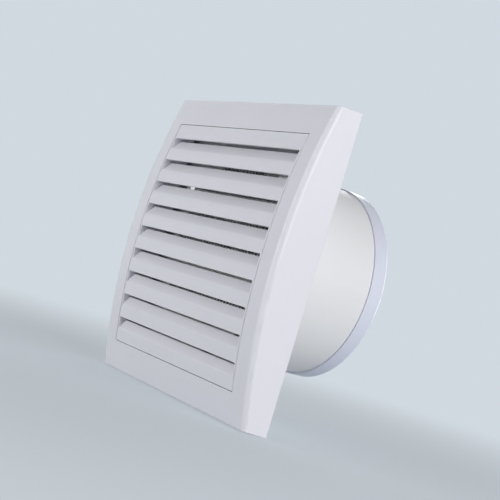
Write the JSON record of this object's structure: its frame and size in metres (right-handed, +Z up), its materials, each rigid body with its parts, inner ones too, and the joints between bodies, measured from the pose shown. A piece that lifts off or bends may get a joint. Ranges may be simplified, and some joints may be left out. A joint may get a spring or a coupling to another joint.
{
  "type": "bathroom extractor fan",
  "caption": "Square wall extractor fan with a bowed louvred front, a round duct spigot, an axial impeller on an enclosed motor and a two-flap backdraft shutter.",
  "frame": {"origin": "centre of the wall screw pattern and of the spigot, on the plane of the wall", "axes": "+Z up, +Y into the wall along the duct, +X to the right as seen from the room"},
  "size_m": [0.15, 0.0831, 0.1536],
  "materials": {
    "frame_abs": "moulded white ABS, fine satin",
    "housing_abs": "moulded off-white ABS, satin",
    "screen_pp": "moulded polypropylene",
    "impeller_abs": "moulded ABS",
    "shutter_abs": "moulded cool white ABS",
    "zinc_plated_steel": "bright zinc plating",
    "spring_steel": "oiled spring steel",
    "ground_steel": "ground steel",
    "electrical_steel": "stacked laminations",
    "nylon": "natural nylon",
    "enamelled_copper": "enamelled copper wire",
    "bare_copper": "bare copper bar",
    "zinc_casting": "die-cast zinc alloy",
    "sintered_bronze": "sintered bronze",
    "brass": "turned brass",
    "rubber": "moulded rubber",
    "lead_insulation": "PVC insulation"
  },
  "bodies": {
    "fan_body": {"front_frame": "frame_abs", "frame_screws": "zinc_plated_steel", "insect_screen": "screen_pp", "housing": "housing_abs", "motor_cover": "housing_abs", "stator_core": "electrical_steel", "coil_bobbins": "nylon", "coil_windings": "enamelled_copper", "shading_rings": "bare_copper", "front_bracket": "zinc_casting", "rear_bracket": "zinc_casting", "front_bearing": "sintered_bronze", "rear_bearing": "sintered_bronze", "motor_screws": "zinc_plated_steel", "terminal_block": "nylon", "terminal_tubes": "brass", "terminal_screws": "zinc_plated_steel", "terminal_cover": "housing_abs", "terminal_cover_screw": "zinc_plated_steel", "cable_grommet": "rubber", "motor_leads": "lead_insulation", "backdraft_ring": "shutter_abs", "flap_pin": "ground_steel"},
    "louvre": {"louvre_panel": "frame_abs"},
    "spinning_group": {"rotor": "electrical_steel", "shaft": "ground_steel", "thrust_washers": "nylon", "impeller": "impeller_abs", "impeller_clip": "spring_steel"},
    "right_shutter_flap": {"right_flap": "shutter_abs"},
    "left_shutter_flap": {"left_flap": "shutter_abs"}
  },
  "joints": [
    {"name": "louvre_pull", "type": "slide", "parent": "fan_body", "child": "louvre", "axis": [0, -1, 0], "range_m": [0, 0.03]},
    {"name": "impeller_spin", "type": "hinge", "parent": "fan_body", "child": "spinning_group", "pos_m": [0, 0.016, 0], "axis": [0, 1, 0], "continuous": true},
    {"name": "right_flap_swing", "type": "hinge", "parent": "fan_body", "child": "right_shutter_flap", "pos_m": [0, 0.0568, 0], "axis": [0, 0, 1], "range_deg": [0, 80]},
    {"name": "left_flap_swing", "type": "hinge", "parent": "fan_body", "child": "left_shutter_flap", "pos_m": [0, 0.0568, 0], "axis": [0, 0, -1], "range_deg": [0, 80]}
  ]
}
